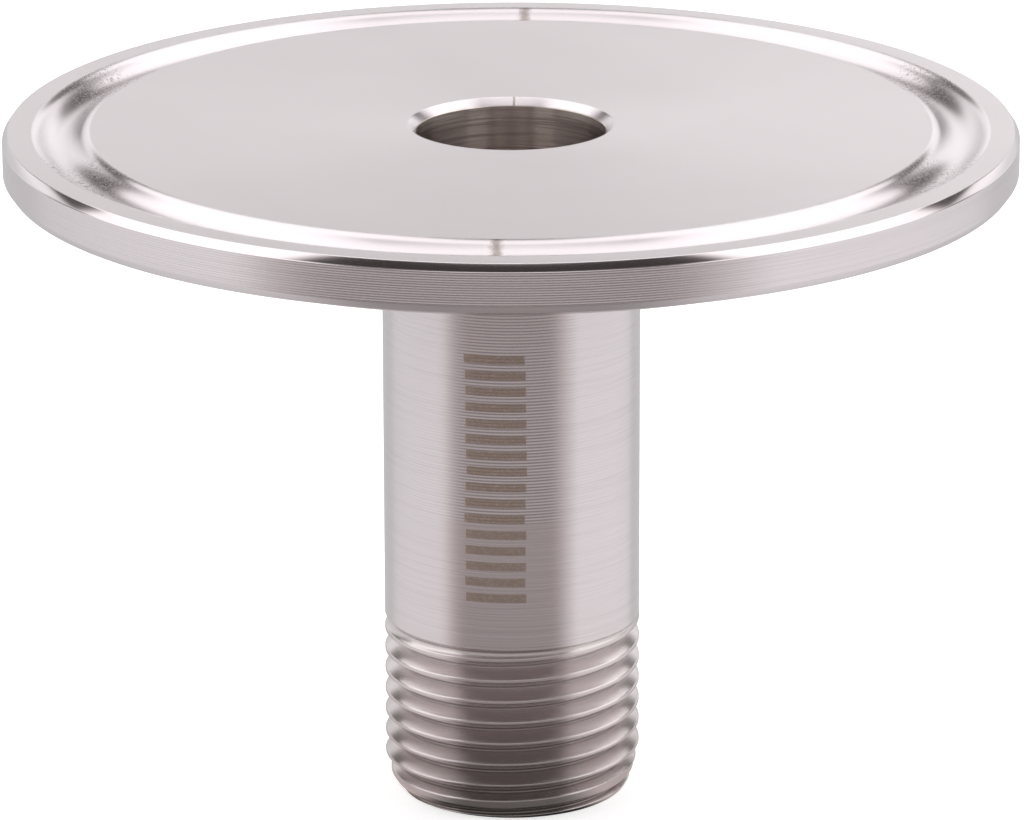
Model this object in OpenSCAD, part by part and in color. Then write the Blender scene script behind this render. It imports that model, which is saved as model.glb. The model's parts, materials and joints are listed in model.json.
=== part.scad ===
/* [Flange] */
// Outer diameter of the clamp flange
flange_d = 64; // [60:0.5:68]
// Thickness of the rim, edge breaks included
rim_t = 3.05; // [2.6:0.05:4]
// Width of the edge break on both corners of the rim, across the radius
edge_w = 0.35; // [0.1:0.05:0.5]
// Height of the same edge break, along the axis
edge_h = 0.5; // [0.1:0.05:0.6]
// Slope of the back face that the clamp bears on, from flat
back_angle = 18; // [10:1:25]
// How far the sloped back face runs in from the rim
back_run = 4; // [2:0.25:6]
// Fillet between the flange's back and the stem
neck_r = 1.5; // [0.5:0.25:3]

/* [Gasket groove] */
// Flat land between the groove and the edge break on the rim
rim_land = 1.5; // [0.8:0.1:3]
// Width of the groove at the face, its rounded lips included
groove_w = 3.65; // [2.5:0.05:4.5]
// Radius of each lip, where the groove's wall turns out of the face
lip_r = 0.75; // [0.3:0.05:1]
// Steepest slope of the groove's walls, from the face
wall_angle = 48; // [35:1:60]

/* [Bore] */
// Diameter of the bore right through
bore_d = 12; // [8:0.5:12.5]
// Chamfer at the bore's mouth in the flange
mouth_chamfer = 0.5; // [0.2:0.05:1]
// Chamfer at the bore's other end, inside the thread
foot_chamfer = 0.3; // [0.1:0.05:0.5]

/* [Stem] */
// Height from the threaded end to the flange's face
total_h = 44; // [38:0.5:60]
// Diameter of the plain stem, which the thread's crests keep
stem_d = 16.4; // [16:0.1:18]

/* [Thread] */
// Pitch of the right-hand thread, 18 turns to the inch
thread_pitch = 1.411; // [1.2:0.001:1.5]
// Length of full thread, from the lead step up to the runout
thread_l = 10; // [6:0.25:14]
// Angle between the two flanks of the thread
flank_angle = 60; // [50:1:65]
// Width of the flat crest at the threaded end
crest_w = 0.12; // [0.08:0.01:0.3]
// Width of the flat at the groove's root
root_w = 0.15; // [0.05:0.01:0.25]
// Taper of the roots, on diameter for each unit of length
root_taper = 0.02; // [0:0.005:0.03]
// Slope of the runout cone at the thread's upper end, from the axis
runout_angle = 45; // [30:5:60]
// Where around the axis the groove's middle leaves the end face, from the right side
thread_phase = 176; // [0:1:360]

/* [Lead at the threaded end] */
// Depth of the step that leads the thread into its mate
lead_step = 0.35; // [0.2:0.05:0.6]
// Height of the slope that the step starts with
lead_slope = 0.1; // [0.05:0.05:0.3]
// Length of the lead, from its step to the end face
lead_l = 1.65; // [1.4:0.05:3]
// Width of the end chamfer, across the radius
end_chamfer_w = 0.5; // [0.3:0.05:0.8]
// Height of the end chamfer, along the axis
end_chamfer_h = 0.8; // [0.4:0.05:1]

/* [Hidden] */
// Sides of the helix to one turn
helix_steps = 36;
// How far cutters stand clear of what they cut
over = 0.12;
round_fn = 128;

flange_r = flange_d/2;
stem_r = stem_d/2;
bore_r = bore_d/2;
rim_back_z = total_h - rim_t;
back_in_r = flange_r - edge_w - back_run;
back_z = rim_back_z - back_run*tan(back_angle);
lead_r = stem_r - lead_step;
// Height at which the thread has run out
thread_z1 = lead_l + thread_l;

// The groove's round bottom meets each round lip at the steepest slope
groove_mid_r = flange_r - edge_w - rim_land - groove_w/2;
bottom_r = groove_w/2/sin(wall_angle) - lip_r;
groove_depth = (bottom_r + lip_r)*(1 - cos(wall_angle));
lip_depth = lip_r*(1 - cos(wall_angle));

// The groove between two crests, whose mouth is what the pitch leaves of them
flank_slope = tan(flank_angle/2);
mouth_w = thread_pitch - crest_w;
thread_depth = (mouth_w - root_w)/(2*flank_slope);
// The cutter's outer side stands proud of the stem, yet two of its turns never touch
cutter_r = stem_r + crest_w/2;
// The helix starts and ends this many turns outside the thread
spare_turns = 1.5;
first_step = -floor(spare_turns*helix_steps);
last_step = ceil((thread_z1/thread_pitch + spare_turns)*helix_steps);

// Radius of the groove's root at a height above the threaded end
function root_r(z) = stem_r - thread_depth + root_taper/2*z;
// Half the groove's width where it leaves the cutter's outer side
function mouth_half(z) = root_w/2 + (cutter_r - root_r(z))*flank_slope;
// The four corners of the groove's section at one step of the helix
function section(i) =
    let (
        z = thread_pitch*i/helix_steps,
        a = thread_phase + 360*i/helix_steps
    )
    [for (c = [
        [root_r(z), -root_w/2], [cutter_r, -mouth_half(z)],
        [cutter_r, mouth_half(z)], [root_r(z), root_w/2]
    ]) [c[0]*cos(a), c[0]*sin(a), z + c[1]]];

// Half the section of the flange and stem, from the axis out
module blank_outline() {
    polygon([
        [0, 0],
        [lead_r - end_chamfer_w, 0],
        [lead_r, end_chamfer_h],
        [lead_r, lead_l - lead_slope],
        [stem_r, lead_l],
        [stem_r, back_z],
        [back_in_r, back_z],
        [flange_r - edge_w, rim_back_z],
        [flange_r, rim_back_z + edge_h],
        [flange_r, total_h - edge_h],
        [flange_r - edge_w, total_h],
        [0, total_h]
    ]);
    neck_fillet();
}

// Round fill of the corner between the stem and the flange's back
module neck_fillet() {
    translate([stem_r, back_z])
        difference() {
            translate([-over, -neck_r])
                square(neck_r + over);
            translate([neck_r, -neck_r])
                circle(r = neck_r, $fn = round_fn);
        }
}

// Section of the gasket groove, from the middle of its mouth
module groove_section() {
    translate([0, bottom_r - groove_depth])
        circle(r = bottom_r, $fn = round_fn);
    difference() {
        translate([-groove_w/2, -lip_depth])
            square([groove_w, lip_depth + over]);
        for (side = [-1, 1])
            translate([side*groove_w/2, -lip_r])
                circle(r = lip_r, $fn = round_fn);
    }
}

// Ring cut into the flange's face, which seats the gasket's bead
module gasket_groove() {
    translate([0, 0, total_h])
        rotate_extrude($fn = round_fn)
            translate([groove_mid_r, 0])
                groove_section();
}

// The bore with a chamfer at each end
module bore() {
    translate([0, 0, -over])
        cylinder(r = bore_r, h = total_h + 2*over, $fn = round_fn);
    translate([0, 0, total_h - mouth_chamfer])
        cylinder(r1 = bore_r, r2 = bore_r + mouth_chamfer + over,
            h = mouth_chamfer + over, $fn = round_fn);
    translate([0, 0, -over])
        cylinder(r1 = bore_r + foot_chamfer + over, r2 = bore_r,
            h = foot_chamfer + over, $fn = round_fn);
}

// The helical groove as one closed sweep of its section
module thread_sweep() {
    sections = [for (i = [first_step:last_step]) section(i)];
    last = 4*(len(sections) - 1);
    sides = [for (i = [0:4:last - 4]) for (k = [0:3])
        let (
            a = i + k,
            b = i + (k + 1)%4
        )
        each [[a, b, a + 4], [b, b + 4, a + 4]]];
    ends = [[2, 1, 0], [3, 2, 0], [last, last + 1, last + 2], [last, last + 2, last + 3]];
    polyhedron(points = [for (s = sections) each s], faces = concat(sides, ends));
}

// Ring round the stem that the groove is cut in, ending above in the runout's cone
module thread_zone() {
    root = stem_r - thread_depth - over;
    rim = cutter_r + over;
    rotate_extrude($fn = round_fn)
        polygon([
            [root, -thread_pitch],
            [rim, -thread_pitch],
            [rim, thread_z1 + (rim - stem_r)/tan(runout_angle)],
            [root, thread_z1 - (stem_r - root)/tan(runout_angle)]
        ]);
}

module adapter_body() {
    color("silver")
        difference() {
            rotate_extrude($fn = round_fn)
                blank_outline();
            intersection() {
                thread_sweep();
                thread_zone();
            }
            gasket_groove();
            bore();
        }
}

adapter_body();
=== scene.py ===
import json
import math

import bpy
from mathutils import Matrix, Vector

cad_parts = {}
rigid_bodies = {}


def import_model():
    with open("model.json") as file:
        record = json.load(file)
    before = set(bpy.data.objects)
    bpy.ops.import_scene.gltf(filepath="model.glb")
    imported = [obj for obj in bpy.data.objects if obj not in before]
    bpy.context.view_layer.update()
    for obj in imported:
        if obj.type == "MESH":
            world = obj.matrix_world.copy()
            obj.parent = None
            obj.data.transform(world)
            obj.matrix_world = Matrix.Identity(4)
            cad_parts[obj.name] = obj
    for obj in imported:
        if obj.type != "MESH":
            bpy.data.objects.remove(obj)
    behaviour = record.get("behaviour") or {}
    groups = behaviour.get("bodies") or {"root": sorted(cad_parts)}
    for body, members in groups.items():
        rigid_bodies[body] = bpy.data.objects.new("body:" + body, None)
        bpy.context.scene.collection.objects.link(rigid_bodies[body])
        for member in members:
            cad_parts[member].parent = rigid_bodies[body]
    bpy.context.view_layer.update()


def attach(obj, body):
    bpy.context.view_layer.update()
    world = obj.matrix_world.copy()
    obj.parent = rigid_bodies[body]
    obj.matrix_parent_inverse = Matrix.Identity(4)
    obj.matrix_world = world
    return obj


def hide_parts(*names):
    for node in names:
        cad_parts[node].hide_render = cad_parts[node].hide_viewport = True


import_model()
mm = 0.001


class Wire:  # one socket of a node tree, so that node maths reads as an expression
    def __init__(self, sheet, socket):
        self.sheet = sheet
        self.socket = socket

    def math(self, operation, *values):
        inputs = dict(enumerate(values))
        return self.sheet.node("ShaderNodeMath", {"operation": operation}, inputs)

    def __add__(self, other):
        return self.math("ADD", self, other)

    __radd__ = __add__

    def __sub__(self, other):
        return self.math("SUBTRACT", self, other)

    def __rsub__(self, other):
        return self.math("SUBTRACT", other, self)

    def __mul__(self, other):
        return self.math("MULTIPLY", self, other)

    __rmul__ = __mul__

    def __truediv__(self, other):
        return self.math("DIVIDE", self, other)

    def __neg__(self):
        return self.math("MULTIPLY", self, -1.0)

    def __abs__(self):
        return self.math("ABSOLUTE", self)

    def __pow__(self, power):
        return self.math("POWER", self, power)

    def atLeast(self, other):
        return self.math("MAXIMUM", self, other)

    def atMost(self, other):
        return self.math("MINIMUM", self, other)


class Sheet:  # a node tree and the one way that nodes are added to it
    def __init__(self, tree):
        self.tree = tree

    def node(self, kind, settings=None, inputs=None, output=0):
        made = self.tree.nodes.new(kind)
        for name, value in (settings or {}).items():
            setattr(made, name, value)
        for name, value in (inputs or {}).items():
            if isinstance(value, Wire):
                self.tree.links.new(value.socket, made.inputs[name])
            else:
                made.inputs[name].default_value = value
        return Wire(self, made.outputs[output]) if made.outputs else made

    def others(self, wire, *names):  # further outputs of the node that a wire comes from
        return [Wire(self, wire.socket.node.outputs[name]) for name in names]

    def split(self, vector):
        x = self.node("ShaderNodeSeparateXYZ", None, {0: vector})
        return [x, *self.others(x, "Y", "Z")]

    def vector(self, x, y, z):
        return self.node("ShaderNodeCombineXYZ", None, {0: x, 1: y, 2: z})

    def ramp(self, value, low, high):  # 0 below low, 1 above high
        settings = {"interpolation_type": "SMOOTHSTEP", "clamp": True}
        inputs = {"Value": value, "From Min": low, "From Max": high}
        return self.node("ShaderNodeMapRange", settings, inputs)

    def band(self, value, low, high, soft):  # 1 between low and high, with soft edges
        rise = self.ramp(value, low - soft / 2, low + soft / 2)
        return rise * (1 - self.ramp(value, high - soft / 2, high + soft / 2))

    def colourMix(self, first, second, mask):
        return self.node("ShaderNodeMix", {"data_type": "RGBA"}, {0: mask, 6: first, 7: second}, 2)

    def noise(self, vector, scale, detail=2.0, roughness=0.5):
        inputs = {"Vector": vector, "Scale": scale, "Detail": detail, "Roughness": roughness}
        return self.node("ShaderNodeTexNoise", None, inputs)

    def swing(self, vector, scale, *grain):  # the same noise, about nought
        return self.noise(vector, scale, *grain) - 0.5


def emptySheet(owner):
    owner.use_nodes = True
    owner.node_tree.nodes.clear()
    return Sheet(owner.node_tree)


def opaque(colour):
    return (*colour, 1.0)


white = opaque((1.0, 1.0, 1.0))


# The adapter's sizes, in millimetres, as its construction gives them
adapter = {
    "flangeRadius": 32.0,
    "height": 44.0,
    "rimThickness": 3.05,
    "edgeWidth": 0.35,
    "edgeHeight": 0.5,
    "backAngle": 18.0,
    "backRun": 4.0,
    "neckRadius": 1.5,
    "rimLand": 1.5,
    "grooveWidth": 3.65,
    "lipRadius": 0.75,
    "wallAngle": 48.0,
    "boreRadius": 6.0,
    "mouthChamfer": 0.5,
    "footChamfer": 0.3,
    "stemRadius": 8.2,
    "leadStep": 0.35,
    "leadSlope": 0.1,
    "leadLength": 1.65,
    "endChamferWidth": 0.5,
    "endChamferHeight": 0.8,
}

# Where the thread runs and how it is cut
thread = {
    "pitch": 1.411,
    "length": 10.0,
    "flankAngle": 60.0,
    "crestWidth": 0.12,
    "rootWidth": 0.15,
    "rootTaper": 0.02,
    "runoutAngle": 45.0,
    "startAngle": 176.0,
    "seamAngle": 90.0,
    "edgeBlend": 0.05,
}

# How finely the surface is laid out
layout = {
    "stepsRound": 360,
    "cornerRadius": 0.06,
    "cornerSteps": 3,
    "bottomSteps": 18,
    "lipSteps": 8,
    "neckSteps": 8,
    "leadRow": 0.055,
    "crestRows": [-0.1, -0.045, 0.0, 0.03],
    "rootRows": [0.0, 0.05, 0.1, 0.16],
    "rootMargin": 0.05,
    "mergeDistance": 2e-7,
    "straightAngle": 0.02,
    "normalWeight": 50,
}


def filletPoints(before, corner, after, radius, steps):
    # Points of an arc that rounds a corner, or the corner alone where it is straight
    inward, outward = (before - corner).normalized(), (after - corner).normalized()
    turn = math.pi - inward.angle(outward)
    if radius <= 0 or turn < layout["straightAngle"]:
        return [corner]
    back = radius * math.tan(turn / 2)
    centre = corner + (inward + outward).normalized() * math.hypot(radius, back)
    start, end = corner + inward * back - centre, corner + outward * back - centre
    sweep = math.copysign(turn, start.x * end.y - start.y * end.x)
    spin = [Matrix.Rotation(sweep * i / steps, 2) for i in range(steps + 1)]
    return [centre + m @ start for m in spin]


def arcPoints(centre, radius, first, last, steps):
    angles = [math.radians(first + (last - first) * i / steps) for i in range(steps + 1)]
    return [Vector((centre[0] + radius * math.cos(a), centre[1] + radius * math.sin(a))) for a in angles]


def roundedPath(corners, radius, steps):
    # A path through the corners with each inner one rounded
    points = [Vector(corners[0])]
    for before, corner, after in zip(corners, corners[1:], corners[2:]):
        points += filletPoints(Vector(before), Vector(corner), Vector(after), radius, steps)
    return points + [Vector(corners[-1])]


def densePath(points, longest):
    # The same path with no stretch longer than asked
    dense = [points[0]]
    for a, b in zip(points, points[1:]):
        pieces = max(1, math.ceil((b - a).length / longest))
        dense += [a.lerp(b, i / pieces) for i in range(1, pieces + 1)]
    return dense


def threadDepth():
    half = math.radians(thread["flankAngle"] / 2)
    mouth = thread["pitch"] - thread["crestWidth"]
    return (mouth - thread["rootWidth"]) / (2 * math.tan(half))


def grooveMiddle():
    return (adapter["flangeRadius"] - adapter["edgeWidth"] - adapter["rimLand"]
            - adapter["grooveWidth"] / 2)


def threadTopHeight():
    return adapter["leadLength"] + thread["length"]


def mouthRadius():
    return adapter["boreRadius"] + adapter["mouthChamfer"]


def outlineRows():
    # Every row of the turned surface as (radius, height, climbs with the thread, cut by the thread)
    a = adapter
    bore, stem, flange, top = a["boreRadius"], a["stemRadius"], a["flangeRadius"], a["height"]
    lead = stem - a["leadStep"]
    threadTop = threadTopHeight()
    rimBack = top - a["rimThickness"]
    backInner = flange - a["edgeWidth"] - a["backRun"]
    back = rimBack - a["backRun"] * math.tan(math.radians(a["backAngle"]))
    corner, steps = layout["cornerRadius"], layout["cornerSteps"]
    rows = []

    ring = stem - threadDepth() - layout["rootMargin"]
    foot = roundedPath([(bore, top / 2), (bore, a["footChamfer"]), (bore + a["footChamfer"], 0),
                        (ring, 0)], corner, steps)
    rows += [(p.x, p.y, 0, 0) for p in foot]

    leadWall = roundedPath([(ring, 0), (lead - a["endChamferWidth"], 0), (lead, a["endChamferHeight"]),
                            (lead, a["leadLength"] - a["leadSlope"]), (stem, a["leadLength"])],
                           corner, steps)
    rows += [(p.x, p.y, 0, 1) for p in densePath(leadWall, layout["leadRow"])]

    # Rows that follow the thread, one set for each turn, placed from the groove's middle at the seam
    pitch = thread["pitch"]
    crest = (pitch - thread["crestWidth"]) / 2
    half = [*layout["rootRows"], crest / 2, *[crest + x for x in layout["crestRows"]]]
    offsets = sorted({-x for x in half} | set(half) | {pitch / 2})
    start = pitch * (thread["seamAngle"] - thread["startAngle"]) / 360
    first = math.floor((a["leadLength"] - pitch - start) / pitch)
    last = math.ceil((threadTop - start) / pitch) + 1
    heights = [start + pitch * turn + x for turn in range(first, last) for x in offsets]
    rows += [(stem, z, 1, 1) for z in heights if a["leadLength"] - pitch < z < threadTop]

    neck = arcPoints((stem + a["neckRadius"], back - a["neckRadius"]), a["neckRadius"], 180, 90,
                     layout["neckSteps"])
    stemWall = [Vector((stem, threadTop)), *neck]
    rows += [(p.x, p.y, 0, 0) for p in stemWall]

    middle, half = grooveMiddle(), a["grooveWidth"] / 2
    rim = roundedPath([(stem + a["neckRadius"], back), (backInner, back),
                       (flange - a["edgeWidth"], rimBack), (flange, rimBack + a["edgeHeight"]),
                       (flange, top - a["edgeHeight"]), (flange - a["edgeWidth"], top),
                       (middle + half, top)], corner, steps)
    rows += [(p.x, p.y, 0, 0) for p in rim[1:]]

    # The groove: an outer lip, the round bottom and an inner lip, each running into the next
    lip, slope = a["lipRadius"], a["wallAngle"]
    bottom = half / math.sin(math.radians(slope)) - lip
    rise = (bottom + lip) * math.cos(math.radians(slope)) - lip
    outer = arcPoints((middle + half, top - lip), lip, 90, 90 + slope, layout["lipSteps"])
    floor = arcPoints((middle, top + rise), bottom, slope - 90, -90 - slope, layout["bottomSteps"])
    inner = arcPoints((middle - half, top - lip), lip, 90 - slope, 90, layout["lipSteps"])
    rows += [(p.x, p.y, 0, 0) for p in [*outer[1:], *floor[1:], *inner[1:]]]

    face = roundedPath([(middle - half, top), (bore + a["mouthChamfer"], top),
                        (bore, top - a["mouthChamfer"]), (bore, top / 2)], corner, steps)
    rows += [(p.x, p.y, 0, 0) for p in face[1:]]
    return rows


def rowObject(rows):
    # The rows as loose points, which the tree below sweeps round the axis
    mesh = bpy.data.meshes.new("rows")
    mesh.from_pydata([(r * mm, 0, z * mm) for r, z, _, _ in rows], [], [])
    for name, place in (("climbs", 2), ("cut", 3)):
        mesh.attributes.new(name, "FLOAT", "POINT").data.foreach_set("value", [row[place] for row in rows])
    made = bpy.data.objects.new("adapter", mesh)
    bpy.context.scene.collection.objects.link(made)
    return made


def bodyTree():
    # Sweeps the rows round the axis, lets the thread's rows climb, and cuts the helical groove
    tree = bpy.data.node_groups.new("turnedBody", "GeometryNodeTree")
    floats = ["Pitch", "Thread foot", "Thread top", "Stem radius", "Root radius", "Root taper",
              "Root width", "Flank slope", "Runout slope", "Start angle", "Seam angle", "Edge blend",
              "Merge distance"]
    kinds = [("Rows", "NodeSocketGeometry"), ("Steps round", "NodeSocketInt"),
             *[(name, "NodeSocketFloat") for name in floats], ("Finish", "NodeSocketMaterial")]
    for name, kind in kinds:
        tree.interface.new_socket(name, in_out="INPUT", socket_type=kind)
    tree.interface.new_socket("Body", in_out="OUTPUT", socket_type="NodeSocketGeometry")
    sheet = Sheet(tree)
    rows = sheet.node("NodeGroupInput")
    get = {name: wire for (name, _), wire in
           zip(kinds[1:], sheet.others(rows, *[name for name, _ in kinds[1:]]))}

    rowCount = sheet.node("GeometryNodeAttributeDomainSize", {"component": "MESH"}, {0: rows})
    columns = get["Steps round"] + 1
    grid = sheet.node("GeometryNodeMeshGrid", None, {"Vertices X": columns, "Vertices Y": rowCount})
    index = sheet.node("GeometryNodeInputIndex")
    column = index.math("FLOOR", (index + 0.5) / rowCount)
    row = index - column * rowCount
    turn = column / get["Steps round"]

    def sample(kind, value):
        return sheet.node("GeometryNodeSampleIndex", {"data_type": kind, "domain": "POINT"},
                          {"Geometry": rows, "Value": value, "Index": row})

    def named(name):
        return sheet.node("GeometryNodeInputNamedAttribute", {"data_type": "FLOAT"}, {"Name": name})

    position = sheet.node("GeometryNodeInputPosition")
    radius, _, height = sheet.split(sample("FLOAT_VECTOR", position))
    climbs, cut = sample("FLOAT", named("climbs")), sample("FLOAT", named("cut"))

    pitch = get["Pitch"]
    climbed = (height + pitch * turn).atLeast(get["Thread foot"]).atMost(get["Thread top"])
    z = height + (climbed - height) * climbs
    angle = get["Seam angle"] + turn * (2 * math.pi)
    cell = (z / pitch - (angle - get["Start angle"]) / (2 * math.pi)) + 0.5
    away = abs(cell.math("FRACT", cell) - 0.5) * pitch
    root = get["Root radius"] + get["Root taper"] * z
    flank = root + (away - get["Root width"] / 2) / get["Flank slope"]
    groove = flank.math("SMOOTH_MAX", flank, root, get["Edge blend"])
    runout = get["Stem radius"] + (z - get["Thread top"]) * get["Runout slope"]
    cutTo = groove.atLeast(runout)
    threaded = cutTo.math("SMOOTH_MIN", radius, cutTo, get["Edge blend"])
    r = radius + (threaded - radius) * cut
    place = sheet.vector(r * angle.math("COSINE", angle), r * angle.math("SINE", angle), z)

    swept = sheet.node("GeometryNodeSetPosition", None, {"Geometry": grid, "Position": place})
    merged = sheet.node("GeometryNodeMergeByDistance", None,
                        {"Geometry": swept, "Distance": get["Merge distance"]})
    smooth = sheet.node("GeometryNodeSetShadeSmooth", None, {0: merged})
    real = sheet.node("GeometryNodeRealizeInstances", None, {0: smooth})
    done = sheet.node("GeometryNodeSetMaterial", None, {"Geometry": real, "Material": get["Finish"]})
    sheet.node("NodeGroupOutput", None, {0: done})
    return tree


def applyTree(piece, tree, values):
    # Sets the tree's named inputs, then turns the result into a plain mesh
    modifier = piece.modifiers.new("shape", "NODES")
    modifier.node_group = tree
    for item in tree.interface.items_tree:
        if item.item_type == "SOCKET" and item.in_out == "INPUT" and item.name in values:
            modifier[item.identifier] = values[item.name]
    normals = piece.modifiers.new("normals", "WEIGHTED_NORMAL")
    normals.mode = "FACE_AREA"
    normals.weight = layout["normalWeight"]
    shown = piece.evaluated_get(bpy.context.evaluated_depsgraph_get())
    mesh = bpy.data.meshes.new_from_object(shown)
    piece.modifiers.clear()
    piece.data = mesh
    mesh.name = piece.name


def makeBody(finish):
    piece = rowObject(outlineRows())
    half = math.radians(thread["flankAngle"] / 2)
    values = {
        "Steps round": layout["stepsRound"],
        "Pitch": thread["pitch"] * mm,
        "Thread foot": adapter["leadLength"] * mm,
        "Thread top": threadTopHeight() * mm,
        "Stem radius": adapter["stemRadius"] * mm,
        "Root radius": (adapter["stemRadius"] - threadDepth()) * mm,
        "Root taper": thread["rootTaper"] / 2,
        "Root width": thread["rootWidth"] * mm,
        "Flank slope": math.tan(half),
        "Runout slope": math.tan(math.radians(thread["runoutAngle"])),
        "Start angle": math.radians(thread["startAngle"]),
        "Seam angle": math.radians(thread["seamAngle"]),
        "Edge blend": thread["edgeBlend"] * mm,
        "Merge distance": layout["mergeDistance"],
        "Finish": finish,
    }
    applyTree(piece, bodyTree(), values)
    print("body:", len(piece.data.vertices), "points,", len(piece.data.polygons), "faces")
    return piece


# The steel's tones, the painted shade and light on it, and how smooth and how grained it is
steel = {
    "colour": (0.75, 0.69, 0.71),
    # painted shade: the thread's darker tone, darker still in its roots and near the foot
    "threadColour": (0.7, 0.64, 0.64),
    "rootShadeColour": (0.3, 0.26, 0.25),
    "rootShadeWidth": 0.17,
    "footShade": 0.32,
    # painted reflections in the bore: lighter upright bands and mouth sides over a darker tone
    "boreColour": (0.6, 0.52, 0.49),
    "borePaintedLight": (0.95, 0.86, 0.8),
    "borePaintedBands": 0.8,
    "boreBase": 0.55,
    "boreDark": 0.65,
    # painted reflection: how dark the ticks of the overhead line are
    "overhead": 0.85,
    "mottle": 0.22,
    "mottleRoughness": 0.35,
    "mottleAndPaintedTickColour": (0.34, 0.29, 0.27),
    "roughness": 0.25,
    "roughnessSpread": 0.03,
    "grain": 1.0,
    "grainTurn": 0.25,
    "faceRoughness": 0.24,
    "faceGrain": 0.25,
    "edgeRoughness": 0.13,
    "lineTone": 0.1,
}

# Where the painted shade on the thread, the painted light in the bore, the painted ticks, the grit and the
# dirt lie, in millimetres; a pair says where a mark starts and where it is full
marks = {
    # where the painted shade on the thread starts and fades
    "threadFade": 0.1,
    "rootStart": 0.04,
    "footFade": (2.0, 9.0),
    # where the painted reflections in the bore lie
    "boreBand": (0.25, 0.46, 0.12),
    "boreSides": (0.4, 0.75),
    "boreMouth": (1.6, 0.7),
    "boreSpecks": (0.45, 0.6),
    "scoreTurn": 0.4,
    "scoreScale": 4.5,
    "scoreGrain": (3.0, 0.8),
    "grooveSoft": 0.1,
    "grooveFloor": (1.2, 1.1),
    "gritSides": (0.875, 0.955, 0.05),
    "gritScale": 4.5,
    "gritGrain": (4.0, 0.7),
    "gritSpecks": (0.5, 0.68),
    # where the painted ticks lie
    "tickTurn": 0.0325,
    "tickWidth": (0.3, 0.8),
    "fuzz": 0.5,
    "fuzzScale": 4.0,
    "fuzzDetail": 3.0,
    "mouthSoft": 0.05,
    "mouthFloor": (0.55, 0.45),
    "dirtFoot": 0.2,
    "dirtTop": (0.6, 0.5),
    "dirtTurn": 0.6,
    "dirtScale": 6.0,
    "dirtGrain": (3.0, 0.8),
    "dirtSpecks": (0.45, 0.7),
    "blotchScale": 0.16,
    "blotchDetail": 3.0,
    "faceFade": (0.1, 0.05),
    "faceInner": 0.05,
    "edgeInner": 0.04,
    "edgeFoot": 0.03,
}

# The tool's marks, in millimetres; a grain is a noise's detail and roughness
turning = {
    "ringScale": 9.0,
    "ringGrain": (2.0, 0.6),
    "ringHeight": 0.0006,
    "stemPitch": 0.201,
    "stemHeight": 0.0052,
    "stemSoft": 0.1,
    "stemNeck": 1.0,
    "stemLinesFoot": 20.2,
    "stemLinesFade": 0.2,
    "stemFaint": 0.12,
    "stemShake": 1.2,
    "stemShakeScale": 1.7,
    "patchAcross": 0.02,
    "patchAlong": 0.6,
    "patchLeast": 0.75,
    "patchSpread": 0.5,
    "streakTurn": 0.5,
    "streakScale": 3.2,
    "streakGrain": (3.0, 0.65),
    "streakHeight": 0.014,
    "rimPitch": 0.1505,
    "rimHeight": 0.0055,
    "rimInset": (0.05, 0.02),
    "rimShake": 3.0,
    "rimShakeScale": 3.1,
    "rimRough": 3.0,
    "rimRoughScale": 4.5,
    "rimRoughGrain": (3.0, 0.7),
    "threadScale": 9.0,
    "threadGrain": (2.0, 0.6),
    "threadHeight": 0.0007,
    "threadFade": 0.05,
    "threadWall": (0.4, 0.5),
    "burrHeight": 0.03,
    "burrScale": 5.0,
    "burrGrain": (3.0, 0.7),
    "burrSpecks": (0.55, 0.75),
    "burrAtRunout": (-0.16, 0.04),
    "burrAtLead": (-0.12, 0.06),
    "burrSoft": 0.04,
    "boreScale": 6.0,
    "boreGrain": (3.0, 0.7),
    "boreHeight": 0.008,
    "boreWall": (0.02, 0.1),
}

# Plain laser-burnt rungs on the stem's front, where the photographed one carries its marking
rungs = {
    "left": -2.9,
    "right": 0.9,
    "foot": 14.6,
    "top": 31.4,
    "pitch": 1.05,
    "share": 0.55,
    "colour": (0.42, 0.27, 0.15),
    "roughness": 0.45,
    "cover": 0.6,
    "frontFade": (-1.0, 0.0),
    "wallSquared": (60.0, 62.0),
    "softShare": 0.06,
    "softSide": 0.08,
    "softEnd": 0.05,
    "shift": 0.6,
    "shiftStep": 3.7,
    "gritScale": 6.0,
    "gritGrain": (3.0, 0.7),
    "gritSpecks": (0.25, 0.6),
    "wear": 0.5,
}


def around(base, offsets):
    return [base + offset for offset in offsets]


def underFace(depths):  # the heights at these depths under the flange's face
    return [adapter["height"] - depth for depth in depths]


def boreMask(sheet, r):
    return 1 - sheet.ramp(r, *around(adapter["boreRadius"], turning["boreWall"]))


def grooveMask(sheet, r, z):
    half = adapter["grooveWidth"] / 2
    ring = sheet.band(r, grooveMiddle() - half, grooveMiddle() + half, marks["grooveSoft"])
    return ring * sheet.ramp(z, *underFace(marks["grooveFloor"]))


def feedLines(sheet, z, pitch, shake):
    # A wave along the axis whose turns lie a little unevenly
    return shake.math("SINE", z * (2 * math.pi / pitch) + shake)


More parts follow.
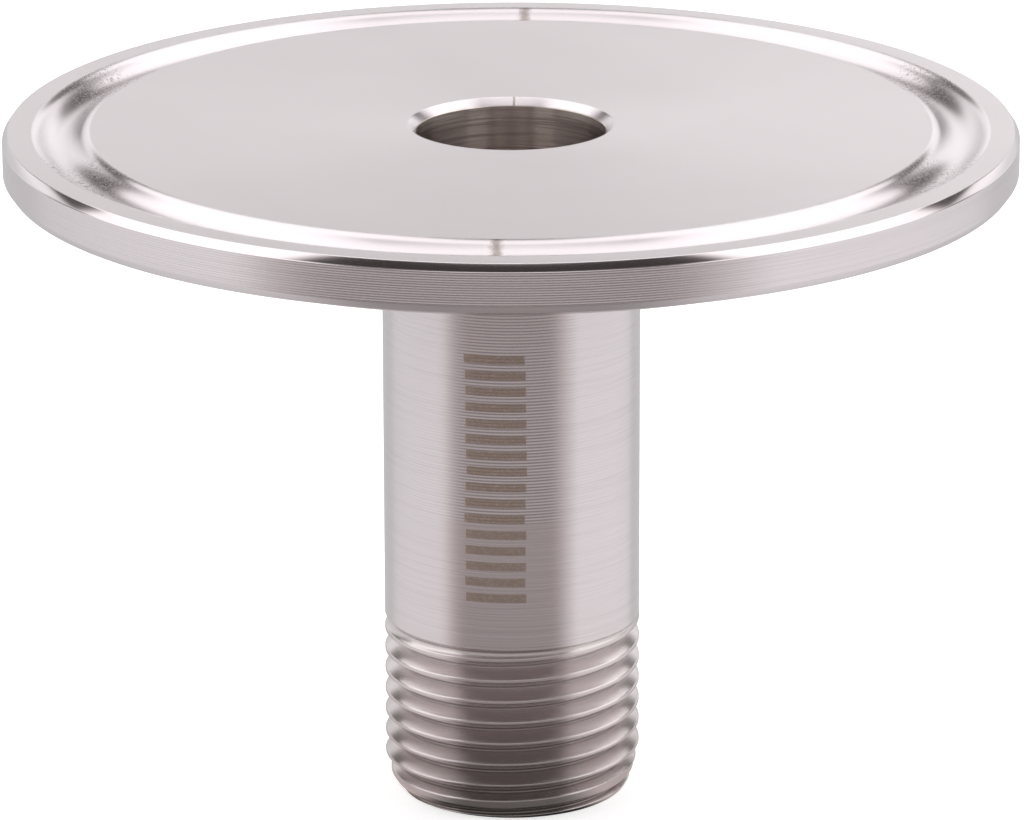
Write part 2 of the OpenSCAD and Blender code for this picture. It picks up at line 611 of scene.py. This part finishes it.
def turnedHeight(sheet, r, z, angle):
    # Height of the tool's marks, in millimetres: rings on every face, feed lines on stem and rim
    a, t = adapter, turning
    threadTop = threadTopHeight()
    along = sheet.vector(0.0, 0.0, z)
    inBore = boreMask(sheet, r)
    onThread = 1 - sheet.ramp(z, threadTop, threadTop + t["threadFade"])
    onThread = onThread * sheet.ramp(r, *around(a["boreRadius"], t["threadWall"]))
    ringed = sheet.swing(sheet.vector(r, 0.0, z), t["ringScale"], *t["ringGrain"])
    rings = ringed * t["ringHeight"] * (1 - onThread)
    rings = rings + sheet.swing(along, t["boreScale"], *t["boreGrain"]) * t["boreHeight"] * inBore

    # On the thread the marks climb with it, and start afresh at each crest
    cell = z / thread["pitch"] - (angle - math.radians(thread["startAngle"])) / (2 * math.pi) + 0.5
    climbed = (cell.math("FRACT", cell) - 0.5) * thread["pitch"]
    scored = sheet.swing(sheet.vector(r, 0.0, climbed), t["threadScale"], *t["threadGrain"])
    scores = scored * t["threadHeight"] * onThread

    onStem = sheet.band(z, threadTop, a["height"] - a["rimThickness"], t["stemSoft"])
    onStem = onStem * (1 - sheet.ramp(r, a["stemRadius"], a["stemRadius"] + t["stemNeck"]))
    strong = sheet.ramp(z, t["stemLinesFoot"] - t["stemLinesFade"], t["stemLinesFoot"])
    shake = sheet.noise(along, t["stemShakeScale"]) * t["stemShake"]
    stemLines = feedLines(sheet, z, t["stemPitch"], shake) * onStem
    stemLines = stemLines * (strong * (1 - t["stemFaint"]) + t["stemFaint"])
    patch = sheet.vector(r * angle.math("COSINE", angle) * t["patchAcross"], 0.0, z * t["patchAlong"])
    stemLines = stemLines * (t["patchLeast"] + sheet.noise(patch, 1.0) * t["patchSpread"])

    # A fine burr stands where the thread runs out and at the lead's step
    burred = sheet.band(z, *around(threadTop, t["burrAtRunout"]), t["burrSoft"])
    burred = burred.atLeast(sheet.band(z, *around(a["leadLength"], t["burrAtLead"]), t["burrSoft"]))
    speckled = sheet.noise(sheet.vector(angle * a["stemRadius"], 0.0, z), t["burrScale"], *t["burrGrain"])
    burr = sheet.ramp(speckled, *t["burrSpecks"]) * burred * (1 - inBore) * t["burrHeight"]

    # Faint streaks of no fixed pitch lie between the feed lines and below them
    streaked = sheet.vector(angle * t["streakTurn"], 0.0, z * t["streakScale"])
    streaks = sheet.swing(streaked, 1.0, *t["streakGrain"]) * t["streakHeight"] * onStem

    onRim = sheet.ramp(r, *[a["flangeRadius"] - inset for inset in t["rimInset"]])
    shake = sheet.noise(along, t["rimShakeScale"]) * t["rimShake"]
    rough = sheet.swing(along, t["rimRoughScale"], *t["rimRoughGrain"]) * t["rimRough"]
    rimLines = (feedLines(sheet, z, t["rimPitch"], shake) + rough) * onRim
    return rings + scores + burr + streaks + stemLines * t["stemHeight"] + rimLines * t["rimHeight"]


def rungMask(sheet, x, y, z, spot):
    front = 1 - sheet.ramp(y, *rungs["frontFade"])
    outside = sheet.ramp(x * x + y * y, *rungs["wallSquared"])
    step = (z - rungs["foot"]) / rungs["pitch"]
    part = step.math("FRACT", step)
    rung = sheet.band(part, 0.5 - rungs["share"] / 2, 0.5 + rungs["share"] / 2, rungs["softShare"])
    shift = sheet.swing(sheet.vector(step.math("FLOOR", step) * rungs["shiftStep"], 0.0, 0.0), 1.0)
    across = sheet.band(x + shift * rungs["shift"], rungs["left"], rungs["right"], rungs["softSide"])
    tall = sheet.band(z, rungs["foot"], rungs["top"], rungs["softEnd"])
    grit = sheet.noise(spot, rungs["gritScale"], *rungs["gritGrain"])
    kept = sheet.ramp(grit, *rungs["gritSpecks"]) * rungs["wear"] + (1 - rungs["wear"])
    return rung * across * tall * front * outside * kept * rungs["cover"]


def steelWithPaintedShade(sheet, r, z, inBore):
    # Clean steel above, and on the thread painted shade: a darker brownish tone, darkest in the roots and
    # near the foot
    threadTop = threadTopHeight()
    onThread = (1 - sheet.ramp(z, threadTop, threadTop + marks["threadFade"])) * (1 - inBore)
    root = adapter["stemRadius"] - threadDepth() + marks["rootStart"]
    deep = 1 - sheet.ramp(r, root, root + steel["rootShadeWidth"])
    threadShade = sheet.colourMix(opaque(steel["threadColour"]), opaque(steel["rootShadeColour"]), deep)
    colour = sheet.colourMix(opaque(steel["colour"]), threadShade, onThread)
    low = (1 - sheet.ramp(z, *marks["footFade"])) * steel["footShade"] * onThread
    return sheet.colourMix(colour, opaque(steel["rootShadeColour"]), low)


def boreColourAndPaintedLight(sheet, x, r, z, angle):
    # In the bore two upright bands, and the sides near the mouth, are painted lighter: painted reflections
    # on the darker bore tone, with dark specks over them
    across = abs(x) / r
    upright = sheet.band(across, *marks["boreBand"])
    mouth = sheet.ramp(across, *marks["boreSides"]) * sheet.ramp(z, *underFace(marks["boreMouth"]))
    place = sheet.vector(angle * marks["scoreTurn"], 0.0, z * marks["scoreScale"])
    scored = sheet.noise(place, 1.0, *marks["scoreGrain"])
    paintedLight = upright.atLeast(mouth) * steel["borePaintedBands"] * (steel["boreBase"] + scored)
    bands = sheet.colourMix(opaque(steel["boreColour"]), opaque(steel["borePaintedLight"]), paintedLight.atMost(1.0))
    dark = sheet.ramp(scored, *marks["boreSpecks"]) * steel["boreDark"]
    return sheet.colourMix(bands, opaque(steel["mottleAndPaintedTickColour"]), dark)


def gritMask(sheet, x, r, spot, inGroove):
    # Fine grit has caught at the ends of the groove's ellipse, to the left and right
    sides = sheet.band(abs(x) / r, *marks["gritSides"])
    grit = sheet.noise(spot, marks["gritScale"], *marks["gritGrain"])
    return sheet.ramp(grit, *marks["gritSpecks"]) * sides * inGroove


def paintedTickMask(sheet, x, y, z, r, spot, inGroove):
    # Painted reflection: a dark line overhead is painted as a dark tick across each ring that faces it, in
    # the groove and at the bore's mouth
    fuzz = sheet.noise(spot, marks["fuzzScale"], marks["fuzzDetail"]) * marks["fuzz"]
    aside = abs(x - y * marks["tickTurn"]) / r * grooveMiddle()
    atMouth = sheet.band(r, adapter["boreRadius"], mouthRadius(), marks["mouthSoft"])
    atMouth = atMouth * sheet.ramp(z, *underFace(marks["mouthFloor"]))
    return (1 - sheet.ramp(aside + fuzz, *marks["tickWidth"])) * inGroove.atLeast(atMouth)


def dirtMask(sheet, z, angle, inBore):
    # The feed lines hold a little dirt, which shows where the light is too even to show their shape
    threadTop = threadTopHeight()
    onStem = sheet.ramp(z, threadTop, threadTop + marks["dirtFoot"]) * (1 - inBore)
    onStem = onStem * (1 - sheet.ramp(z, *underFace(marks["dirtTop"])))
    place = sheet.vector(angle * marks["dirtTurn"], 0.0, z * marks["dirtScale"])
    return sheet.ramp(sheet.noise(place, 1.0, *marks["dirtGrain"]), *marks["dirtSpecks"]) * onStem


def steelFinish():
    material = bpy.data.materials.new("turnedSteel")
    sheet = emptySheet(material)
    place = sheet.node("ShaderNodeTexCoord", None, None, "Object")
    x, y, z = [axis / mm for axis in sheet.split(place)]
    spot = sheet.vector(x, y, z)
    r = (x * x + y * y) ** 0.5
    angle = x.math("ARCTAN2", y, x)
    height = turnedHeight(sheet, r, z, angle)
    normal = sheet.node("ShaderNodeBump", None, {"Strength": 1.0, "Distance": mm, "Height": height})

    inBore, inGroove = boreMask(sheet, r), grooveMask(sheet, r, z)
    gritty = gritMask(sheet, x, r, spot, inGroove)
    paintedTicks = paintedTickMask(sheet, x, y, z, r, spot, inGroove)
    dirty = dirtMask(sheet, z, angle, inBore)
    burnt = rungMask(sheet, x, y, z, spot)

    colour = steelWithPaintedShade(sheet, r, z, inBore)
    colour = sheet.colourMix(colour, boreColourAndPaintedLight(sheet, x, r, z, angle), inBore)
    # grit is mottle, the ticks are painted reflection, the dirt lies in the feed lines
    for mask, amount in ((gritty, "mottle"), (paintedTicks, "overhead"), (dirty, "lineTone")):
        colour = sheet.colourMix(colour, opaque(steel["mottleAndPaintedTickColour"]), mask * steel[amount])
    colour = sheet.colourMix(colour, opaque(rungs["colour"]), burnt)

    blotch = sheet.swing(spot, marks["blotchScale"], marks["blotchDetail"])
    roughness = blotch * steel["roughnessSpread"] + steel["roughness"]
    roughness = roughness + (rungs["roughness"] - roughness) * burnt + gritty * steel["mottleRoughness"]

    def shader(roughness, grain):
        return sheet.node("ShaderNodeBsdfPrincipled", None, {
            "Base Color": colour, "Metallic": 1.0, "Roughness": roughness, "Anisotropic": grain,
            "Anisotropic Rotation": steel["grainTurn"], "Normal": normal})

    # The flat face is finer turned than the rest, and the rim's upper edge break is the smoothest
    onFace = sheet.ramp(r, mouthRadius() - marks["faceInner"], mouthRadius())
    onFace = onFace * sheet.ramp(z, *underFace(marks["faceFade"])) * (1 - inGroove)
    edge = adapter["flangeRadius"] - adapter["edgeWidth"]
    edgeFoot = adapter["height"] - adapter["edgeHeight"]
    onEdge = sheet.ramp(r, edge, edge + marks["edgeInner"])
    onEdge = onEdge * sheet.ramp(z, edgeFoot - marks["edgeFoot"], edgeFoot)
    grained = shader(roughness, steel["grain"])
    face = shader(roughness + (steel["faceRoughness"] - steel["roughness"]), steel["faceGrain"])
    smooth = shader(steel["edgeRoughness"], 0.0)
    mixed = sheet.node("ShaderNodeMixShader", None, {0: onFace, 1: grained, 2: face})
    mixed = sheet.node("ShaderNodeMixShader", None, {0: onEdge, 1: mixed, 2: smooth})
    sheet.node("ShaderNodeOutputMaterial", None, {"Surface": mixed})
    print("steel:", len(sheet.tree.nodes), "nodes")
    return material


# The studio: how bright each part of it is
studio = {
    "backdrop": 1.19,
    "backdropFoot": 0.8,
    "backdropSlope": 1.1,
    "slopeLimit": 0.07,
    "strip": 0.08,
    "boxes": 1.55,
    "sideBoxes": 1.4,
    "slit": 0.02,
    "frontDark": 0.05,
    "frontLow": 0.6,
    "lowSides": 0.85,
    "lowFront": 0.47,
    "lowFrontFall": 0.015,
    "lowFrontLeast": 0.12,
    "lowBack": 0.65,
    "pole": 0.5,
    "rightGain": 0.1,
    "brown": (1.0, 0.88, 0.85),
}

# Where each part of it starts and ends, by azimuth from the camera's side or by elevation, in degrees
places = {
    "right": (-0.1, 0.1),
    "behind": (122, 128),
    "stripAzimuth": (112, 118),
    "strip": (19, 29.5, 2),
    "curtain": (4, 14),
    "sideAzimuth": (58, 115, 6),
    "side": (14, 20),
    "boxes": (28.5, 31.5),
    "slitHalf": (0.03, 0.065),
    "slit": (24, 52, 4),
    "front": (54, 62),
    "frontLow": (35, 41),
    "frontDark": (38, 64, 6),
    "dimEdge": 53,
    "dimEdgeRight": 9,
    "dimInner": 8,
    "dimOuter": 20,
    "lowFront": -15,
    "lowBack": (125, 140),
    "pole": (-75, -55),
    "horizon": (-6, 2),
}


def azimuthOf(x, y):  # degrees round from the camera's side, alike to the left and right
    return x.math("ARCTAN2", abs(x), -y) * (180 / math.pi)


def over(base, level, mask):
    return base + (level - base) * mask


def makeStudio():
    world = bpy.data.worlds.new("studio")
    bpy.context.scene.world = world
    sheet = emptySheet(world)
    x, y, z = sheet.split(sheet.node("ShaderNodeTexCoord"))
    azimuth = azimuthOf(x, y)
    elevation = z.math("ARCSINE", z) * (180 / math.pi)
    right = sheet.ramp(x, *places["right"])
    low, limit = sheet.ramp(elevation, *places["horizon"]), studio["slopeLimit"]

    # Above the horizon: the backdrop with a dark strip over it, boxes at the sides and overhead
    behind = sheet.ramp(azimuth, *places["behind"])
    strip = sheet.ramp(azimuth, *places["stripAzimuth"]) * sheet.band(elevation, *places["strip"])
    slope = 1 + (x * studio["backdropSlope"]).atLeast(-limit).atMost(limit)
    curtain = over(studio["backdropFoot"], studio["backdrop"], sheet.ramp(elevation, *places["curtain"]))
    high = over(studio["lowSides"], slope * curtain, behind)
    side = sheet.band(azimuth, *places["sideAzimuth"]) * sheet.ramp(elevation, *places["side"])
    high = over(high, studio["sideBoxes"], side)
    high = over(high, studio["boxes"], sheet.ramp(elevation, *places["boxes"]))
    high = over(high, studio["strip"], strip)
    slit = (1 - sheet.ramp(abs(x), *places["slitHalf"])) * sheet.band(elevation, *places["slit"]) * behind
    high = over(high, studio["slit"], slit)
    front = 1 - sheet.ramp(azimuth, *places["front"])
    high = over(high, studio["frontLow"], front * (1 - sheet.ramp(elevation, *places["frontLow"])))
    frontDark = front * sheet.band(elevation, *places["frontDark"])
    high = over(high, studio["frontDark"], frontDark)

    # Below it: dim in front and behind, bright at the sides
    edge = places["dimEdge"] - right * places["dimEdgeRight"]
    dim = 1 - sheet.ramp(azimuth, edge - places["dimInner"], edge + places["dimOuter"])
    fall = studio["lowFront"] + (elevation - places["lowFront"]) * studio["lowFrontFall"]
    sides = studio["lowSides"] * (1 + right * studio["rightGain"])
    under = over(sides, fall.atLeast(studio["lowFrontLeast"]), dim)
    under = over(under, studio["lowBack"], sheet.ramp(azimuth, *places["lowBack"]))
    under = over(under, studio["pole"], 1 - sheet.ramp(elevation, *places["pole"]))
    level = over(under, high, low)
    brown = (dim * (1 - low)).atLeast(frontDark).atLeast(strip)
    tint = sheet.colourMix(white, opaque(studio["brown"]), brown)

    path = sheet.node("ShaderNodeLightPath")
    seen = {"Color": sheet.colourMix(tint, white, path), "Strength": over(level, 1.0, path)}
    background = sheet.node("ShaderNodeBackground", None, seen)
    sheet.node("ShaderNodeOutputWorld", None, {"Surface": background})
    print("studio:", len(sheet.tree.nodes), "nodes")


# The floor, which mirrors in the steel only close to the foot: there mirrored rays see painted shade,
# dimmest in front and lighter at the sides
floorPlan = {
    "size": 3.0,
    "grey": 0.8,
    "glow": 0.6,
    "shadeInner": 8.0,
    "shadeReach": 40.0,
    "shade": 0.03,
    "sideShade": 0.72,
    "sideAzimuth": (35, 62),
}


def makeFloor():
    plan, half = floorPlan, floorPlan["size"] / 2
    mesh = bpy.data.meshes.new("floor")
    corners = [(-half, -half, 0), (half, -half, 0), (half, half, 0), (-half, half, 0)]
    mesh.from_pydata(corners, [], [(0, 1, 2, 3)])
    floor = bpy.data.objects.new("floor", mesh)
    bpy.context.scene.collection.objects.link(floor)
    material = bpy.data.materials.new("paleFloor")
    sheet = emptySheet(material)
    matt = sheet.node("ShaderNodeBsdfDiffuse", None, {"Color": opaque([plan["grey"]] * 3)})
    path = sheet.node("ShaderNodeLightPath")
    mirrored, = sheet.others(path, "Is Glossy Ray")
    glow = sheet.node("ShaderNodeEmission", None, {"Color": white, "Strength": path * plan["glow"]})
    both = sheet.node("ShaderNodeAddShader", None, {0: matt, 1: glow})

    x, y, _ = sheet.split(sheet.node("ShaderNodeTexCoord", None, None, "Object"))
    away = (x * x + y * y) ** 0.5 / mm
    # painted shade for mirrored rays, fading out away from the foot
    fade = (1 - (away - plan["shadeInner"]) / plan["shadeReach"]).atLeast(0.0).atMost(1.0)
    sideways = sheet.ramp(azimuthOf(x, y), *plan["sideAzimuth"])
    lit = sideways * (plan["sideShade"] - plan["shade"]) + plan["shade"]
    shade = sheet.node("ShaderNodeEmission", None, {"Color": opaque(studio["brown"]), "Strength": lit})
    clear = sheet.node("ShaderNodeBsdfTransparent", None, {"Color": white})
    near = sheet.node("ShaderNodeMixShader", None, {0: fade * fade, 1: clear, 2: shade})
    seen = sheet.node("ShaderNodeMixShader", None, {0: mirrored, 1: both, 2: near})
    sheet.node("ShaderNodeOutputMaterial", None, {"Surface": seen})
    mesh.materials.append(material)


# Where the photograph was taken from, in millimetres and degrees
view = {
    "away": 393.0,
    "up": 149.0,
    "pitch": 17.506,
    "roll": -0.132,
    "lens": 226.79,
    "sensor": 36.0,
    "pixelsWide": 1024,
    "middleX": 511.57,
    "clip": (0.01, 10.0),
}


def makeCamera():
    data = bpy.data.cameras.new("camera")
    data.lens, data.sensor_width = view["lens"], view["sensor"]
    data.shift_x = 0.5 - view["middleX"] / view["pixelsWide"]
    data.clip_start, data.clip_end = view["clip"]
    camera = bpy.data.objects.new("camera", data)
    bpy.context.scene.collection.objects.link(camera)
    tilt = Matrix.Rotation(math.radians(90 - view["pitch"]), 4, "X")
    roll = Matrix.Rotation(math.radians(view["roll"]), 4, "Z")
    spot = Matrix.Translation((0, -view["away"] * mm, view["up"] * mm))
    camera.matrix_world = spot @ tilt @ roll
    bpy.context.scene.camera = camera


makeCamera()
makeStudio()
makeFloor()
body = makeBody(steelFinish())
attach(body, "root")
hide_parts("adapter_body")

bpy.context.scene.view_settings.view_transform = "Standard"
